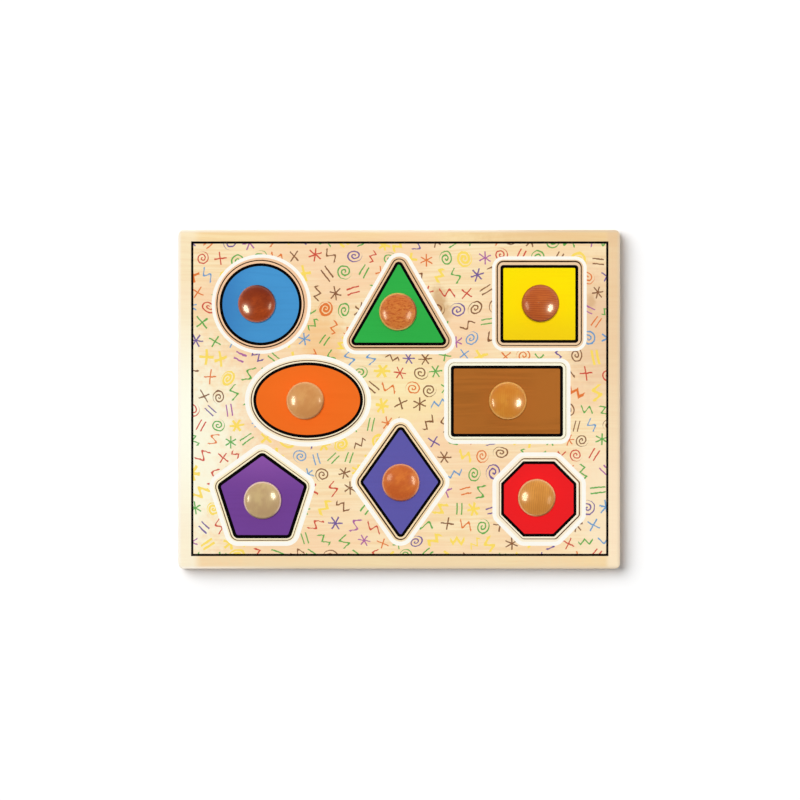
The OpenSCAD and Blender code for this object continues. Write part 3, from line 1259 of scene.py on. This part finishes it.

# Wood of each knob: its main tone, the tone of its grain and of the painted reflection on its thin upper rim,
# how its grain is turned and how strongly the fine lines, the pores and the patches show. The dark side has
# its angle and strength, and the rim's lit side is the angle at which the painted rim reflection is palest;
# away from it the rim turns to painted shade.
knobWood = {
    "circle": {
        "tone": (196, 84, 30), "dark": (104, 28, 8), "rim": (186, 104, 76),
        "turn": 20, "lines": 0.05, "pores": 0.3, "patches": 0.4,
        "darkSide": (75, 0.8), "rimLitSide": 235,
    },
    "triangle": {
        "tone": (224, 138, 62), "dark": (176, 70, 26), "rim": (236, 186, 100),
        "turn": 0, "lines": 0.1, "pores": 0.8, "patches": 0.2,
        "darkSide": (90, 0.3), "rimLitSide": 190,
    },
    "square": {
        "tone": (200, 104, 44), "dark": (152, 58, 26), "rim": (176, 84, 20),
        "turn": 0, "lines": 0.55, "pores": 0.1, "patches": 0.2,
        "darkSide": (250, 0.1), "rimLitSide": 90,
    },
    "oval": {
        "tone": (218, 160, 96), "dark": (196, 124, 66), "rim": (246, 184, 122),
        "turn": 60, "lines": 0.05, "pores": 0.15, "patches": 0.45,
        "darkSide": (0, 0.2), "rimLitSide": 135,
    },
    "rectangle": {
        "tone": (218, 150, 56), "dark": (196, 106, 28), "rim": (244, 184, 98),
        "turn": 88, "lines": 0.2, "pores": 0.15, "patches": 0.4,
        "darkSide": (90, 0.35), "rimLitSide": None,
    },
    "pentagon": {
        "tone": (204, 178, 126), "dark": (176, 140, 104), "rim": (244, 212, 194),
        "turn": 80, "lines": 0.05, "pores": 0.15, "patches": 0.5,
        "darkSide": (270, 0.3), "rimLitSide": 90,
    },
    "diamond": {
        "tone": (218, 120, 50), "dark": (186, 82, 34), "rim": (240, 166, 118),
        "turn": 30, "lines": 0.05, "pores": 0.25, "patches": 0.6,
        "darkSide": (250, 0.2), "rimLitSide": 90,
    },
    "octagon": {
        "tone": (224, 154, 70), "dark": (182, 112, 44), "rim": (244, 190, 132),
        "turn": 86, "lines": 0.4, "pores": 0.15, "patches": 0.25,
        "darkSide": (290, 0.3), "rimLitSide": 130,
    },
}


def arcPoints(centre, radius, start, end, steps):
    angles = [start + (end - start) * i / steps for i in range(1, steps + 1)]
    return [(centre[0] + radius * math.cos(a), centre[1] + radius * math.sin(a)) for a in angles]


def rimCentre():
    # centre of the arc that rounds the head's edge
    x = knob["headRadius"] - knob["rimRadius"]
    dome, rim = knob["domeRadius"], knob["rimRadius"]
    return x, knob["height"] - dome + math.sqrt((dome - rim) ** 2 - x ** 2)


def knobProfile():
    # up the bore from its tip, out along the foot, round the cove, the rim and the dome, and into the dimple
    bore, tip, steps = screw["shankRadius"] + screw["gap"], knob["boreDepth"], knob["arcSteps"]
    neck, cove, dome, rim = [knob[part + "Radius"] for part in ("neck", "cove", "dome", "rim")]
    domeZ = knob["height"] - dome
    rimX, rimZ = rimCentre()
    coveX = neck + cove
    coveZ = rimZ - math.sqrt((rim + cove) ** 2 - (coveX - rimX) ** 2)
    domeAngle = math.atan2(rimZ - domeZ, rimX)
    coveAngle = math.atan2(rimZ - coveZ, rimX - coveX)
    dimpleAngle = math.acos(knob["dimpleRadius"] / dome)
    points = [(0, tip), (bore, tip - knob["boreTip"]), (bore, 0), (neck, 0), (neck, coveZ)]
    points += arcPoints((coveX, coveZ), cove, math.pi, coveAngle, steps)
    points += arcPoints((rimX, rimZ), rim, coveAngle - math.pi, domeAngle, steps)
    points += arcPoints((0, domeZ), dome, domeAngle, dimpleAngle, steps)
    top, deep = points[-1][1], knob["dimpleDepth"]
    bendX, bendZ = knob["dimpleBend"]
    points += [(bendX * knob["dimpleRadius"], top - bendZ * deep), (0, top - deep)]
    return [(x * mm, z * mm) for x, z in points]


def makeKnobWood(shape, place):
    look = knobWood[shape]
    material, tree, shader = newMaterial(shape + "KnobWood", lacquer["roughness"], lacquer["specular"])
    shader.inputs["Coat Weight"].default_value = lacquer["coat"]
    shader.inputs["Coat Roughness"].default_value = lacquer["coatRoughness"]
    wood = useGroup(tree, turnedGroup, **{
        "Vector": objectPlace(tree, location=place, turn=look["turn"]),
        "Rim Radius": turning["rimFrom"] * knob["headRadius"],
        "Rim Height": rimCentre()[1],
    })
    base, dark, rim = ink(*look["tone"]), ink(*look["dark"]), ink(*look["rim"])
    for layer in ("Patches", "Lines", "Pores"):
        base = mixColour(tree, times(tree, wood[layer], look[layer.lower()]), base, dark)
    reach = knob["headRadius"]
    darkAngle, darkAmount = look["darkSide"]
    towardDark, across, up = separate(tree, objectPlace(tree, place, darkAngle))
    base = mixColour(tree, remap(tree, towardDark, -reach, reach, 0.0, darkAmount), base, dark)
    # painted reflection on the rim, turning to painted shade away from its lit side
    if look["rimLitSide"] is not None:
        towardRim, across, up = separate(tree, objectPlace(tree, place, look["rimLitSide"]))
        shadow = ink(*[turning["rimShade"] * part for part in look["dark"]])
        lit = remap(tree, towardRim, *[reach * part for part in turning["rimFade"]])
        rim = mixColour(tree, lit, shadow, rim)
    base = mixColour(tree, times(tree, wood["Rim"], turning["rimReflectionStrength"]), base, rim)
    dressShader(tree, shader, base, wood["Pores"], lacquer["bump"])
    return material


def makeKnobs():
    pattern = drawProfile("knobPattern", knobProfile())
    spinProfile(pattern, knob["spinSteps"])
    shadeSmooth(pattern, knob["smoothBelow"])
    made = []
    for shape in shapeNames:
        place = centreOf(shape + "_knob")
        place.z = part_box(shape + "_knob")[0].z
        piece = copyPiece(pattern, shape + "_knob_turned")
        piece.location = place
        settle(piece)
        giveMaterials(piece, [makeKnobWood(shape, place)])
        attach(piece, shape + "_piece")
        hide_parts(shape + "_knob")
        made.append(piece)
    bpy.data.objects.remove(pattern)
    return made


knobPieces = makeKnobs()
print("puzzle: eight turned knobs")


# Back board, with the shape of each tile printed on the floor of its well

def makeBackBoard():
    low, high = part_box("back_board")
    wood, strength, finish = birch["bare"]["pale"], printing["floorStrength"], printing["boardFinish"]
    floorInks = [
        makeInk(shape + "FloorInk", tileInks[shape]["colour"], wood, strength, finish) for shape in shapeNames
    ]
    materials = [bareBirch, backEdge] + floorInks + [gapShadeCutEdges[shape] for shape in shapeNames]
    block = boardBlock("back_board_plywood", low.z, high.z, 0, board["footRound"])
    giveMaterials(block, materials)
    editMode(block)
    paintFaces(block, lambda face: abs(face.normal.z) < 0.9, 1)
    deleteTop(block)
    objectMode()
    marks = []
    for i, shape in enumerate(shapeNames):
        away = wellShift(shape)
        outer = -board["floorLineInset"] * mm
        mark = shapeLoop(shape, outer - board["floorLine"] * mm, high.z, away)
        giveMaterials(mark, materials)
        editMode(mark)
        fillBetween(mark, edgeAt(high.z), 0)
        objectMode()
        mark = printRing(mark, shape, outer, high.z, away, 2 + i)
        # the floor round the cut is painted in the cut tone, as painted shade of the gap
        gapShade = board["floorGapShade"] * mm
        mark = printRing(mark, shape, -gapShade, high.z, away, 0)
        marks.append(printRing(mark, shape, tiles[shape]["gap"] * mm + gapShade, high.z, away, 10 + i))
    piece = joinPieces([block] + marks, "back_board_plywood")
    editMode(piece)
    fillBetween(piece, edgeAt(high.z), 0)
    turnOutwards()
    objectMode()
    shadeSmooth(piece)
    settle(piece)
    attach(piece, "board")
    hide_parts("back_board")
    return piece


backBoard = makeBackBoard()
print("puzzle: back board")


# Screws keep their CAD shape

zinc = {
    "light": (196, 196, 192),
    "dark": (166, 166, 162),
    "finish": (0.4, 0.5, 1.0),    # roughness, specular and metallic
    "cloudScale": 1.4,
    "cloudDetail": (3.0, 0.6),
    "cloudRange": (0.3, 0.7),
    "roughness": (0.28, 0.42),
    "bump": 0.1,
}


def makeZinc():
    material, tree, shader = newMaterial("zincSteel", *zinc["finish"])
    cloud = noise(tree, objectPlace(tree), zinc["cloudScale"], *zinc["cloudDetail"])
    roughness = remap(tree, cloud, *zinc["cloudRange"], *zinc["roughness"])
    tree.links.new(roughness, shader.inputs["Roughness"])
    colour = mixColour(tree, cloud, ink(*zinc["light"]), ink(*zinc["dark"]))
    dressShader(tree, shader, colour, cloud, zinc["bump"])
    return material


zincSteel = makeZinc()
for shape in shapeNames:
    giveMaterials(frame["nodes"][shape + "_screw"], [zincSteel])


# Studio

studio = {
    "cameraHeight": 5.2,
    "cameraPlace": (0.00072, -0.00063),
    "lens": 257.7,
    "sensor": 36,
    "clip": (0.05, 50),
    "floorColour": (243, 243, 243),
    "floorFinish": (0.9, 0.0),    # roughness and specular
    "floorSize": 10.0,
    "floorDrop": 0.0002,
    "ceiling": 0.15,
    "horizon": 1.0,
    "dimming": (0.15, 0.55),  # heights between which the surroundings grow dim
    "frontShare": 0.5,        # how bright the surroundings are in front and at the back
    "backShare": 1.4,
    "glintDistance": 2.4,
    "glintColour": (1.0, 0.95, 0.7),
}

# Suns: the way their light travels, the width of their disc in degrees and what they light
suns = {
    "overheadSun": {"travel": (0.02, -0.035, -1), "disc": 8, "energy": 2.4, "lights": "puzzle"},
    "floorSun": {"travel": (0.86, -0.56, -1), "disc": 56, "energy": 3.6, "lights": "floor"},
    "floorFill": {"travel": (0, 0, -1), "disc": 10, "energy": 0.4, "lights": "floor"},
}

# Windows that the glossy knobs mirror. Each glint gives its place on the head to the right and to the back,
# its width and height, all in shares of the head's radius, and its strength.
glints = {
    "circle": [(-0.58, -0.27, 0.25, 0.42, 53), (0.7, -0.14, 0.09, 0.34, 21)],
    "triangle": [(-0.7, -0.17, 0.1, 0.42, 37), (0.6, -0.2, 0.24, 0.4, 15)],
    "square": [(0.54, -0.25, 0.28, 0.37, 53), (-0.71, -0.12, 0.16, 0.42, 10)],
    "oval": [(-0.64, -0.01, 0.18, 0.42, 48), (0.77, 0.02, 0.05, 0.24, 42)],
    "rectangle": [(0.59, -0.13, 0.28, 0.37, 56), (-0.78, -0.13, 0.06, 0.36, 50)],
    "pentagon": [(0.57, 0.23, 0.23, 0.34, 45), (-0.76, 0.1, 0.05, 0.3, 80)],
    "diamond": [(0.68, 0.12, 0.15, 0.42, 22), (-0.61, 0.26, 0.26, 0.36, 9)],
    "octagon": [(-0.63, 0.05, 0.3, 0.44, 35), (0.69, -0.13, 0.2, 0.4, 7)],
}


def makeWorld():
    # bright round the horizon and dim overhead, where the flat printed faces mirror it
    world = bpy.data.worlds.new("studioWorld")
    bpy.context.scene.world = world
    world.use_nodes = True
    tree = world.node_tree
    background = tree.nodes["Background"]
    direction = tree.nodes.new("ShaderNodeTexCoord").outputs["Generated"]
    right, back, height = separate(tree, direction)
    level = remap(tree, height, *studio["dimming"], studio["horizon"], studio["ceiling"])
    side = remap(tree, back, -1.0, 1.0, studio["frontShare"], studio["backShare"])
    tree.links.new(times(tree, level, side), background.inputs["Strength"])
    background.inputs["Color"].default_value = (1, 1, 1, 1)


def makeFloor():
    bpy.ops.mesh.primitive_plane_add(size=studio["floorSize"], location=(0, 0, -studio["floorDrop"]))
    floor = bpy.context.object
    floor.name = floor.data.name = "studioFloor"
    material, tree, shader = newMaterial("studioFloorPaper", *studio["floorFinish"])
    shader.inputs["Base Color"].default_value = ink(*studio["floorColour"])
    giveMaterials(floor, [material])
    floor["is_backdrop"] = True
    return floor


def lightOnly(light, pieces):
    lit = bpy.data.collections.new("litBy" + light.name)
    for piece in pieces:
        lit.objects.link(piece)
    light.light_linking.receiver_collection = lit


def addSun(name, travel, disc, energy):
    bpy.ops.object.light_add(type="SUN", location=-2 * Vector(travel))
    sun = bpy.context.object
    sun.name = sun.data.name = name
    sun.data.energy = energy
    sun.data.angle = math.radians(disc)
    sun.rotation_euler = Vector(travel).to_track_quat("-Z", "Y").to_euler()
    sun.visible_glossy = False
    return sun


def addGlint(name, node, x, y, width, height, strength):
    # stands where the knob's dome mirrors it up to the camera, and lights nothing but the gloss
    top = centreOf(node)
    top.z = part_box(node)[1].z
    share = knob["headRadius"] / knob["domeRadius"]
    tilt = Vector((x * share, y * share, 0))
    normal = tilt + Vector((0, 0, math.sqrt(1 - tilt.length_squared)))
    toward = 2 * normal.z * normal - Vector((0, 0, 1))
    distance = studio["glintDistance"]
    bpy.ops.object.light_add(type="AREA", location=top + distance * toward)
    light = bpy.context.object
    light.name = light.data.name = name
    light.data.color = studio["glintColour"]
    light.data.shape = "ELLIPSE"
    light.data.size = 2 * share * height * distance
    light.data.size_y = 2 * share * width * distance
    light.data.energy = strength * math.pi * light.data.size * light.data.size_y * math.pi / 4
    light.rotation_euler = (-toward).to_track_quat("-Z", "Y").to_euler()
    light.visible_diffuse = False
    light.visible_camera = False
    return light


def makeStudio():
    makeWorld()
    floor = makeFloor()
    puzzle = list(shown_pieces())
    for name, look in suns.items():
        sun = addSun(name, look["travel"], look["disc"], look["energy"])
        lightOnly(sun, puzzle if look["lights"] == "puzzle" else [floor])
    for shape, windows in glints.items():
        for i, window in enumerate(windows):
            light = addGlint(f"{shape}Glint{i + 1}", shape + "_knob", *window)
            lightOnly(light, [bpy.data.objects[shape + "_knob_turned"]])


def makeCamera():
    place = (*studio["cameraPlace"], studio["cameraHeight"])
    bpy.ops.object.camera_add(location=place, rotation=(0, 0, 0))
    camera = bpy.context.object
    camera.name = camera.data.name = "photoCamera"
    camera.data.lens = studio["lens"]
    camera.data.sensor_width = studio["sensor"]
    camera.data.clip_start, camera.data.clip_end = studio["clip"]
    bpy.context.scene.camera = camera


makeStudio()
makeCamera()
bpy.context.scene.view_settings.view_transform = "Standard"
clearSelection()
print("puzzle: studio and camera")
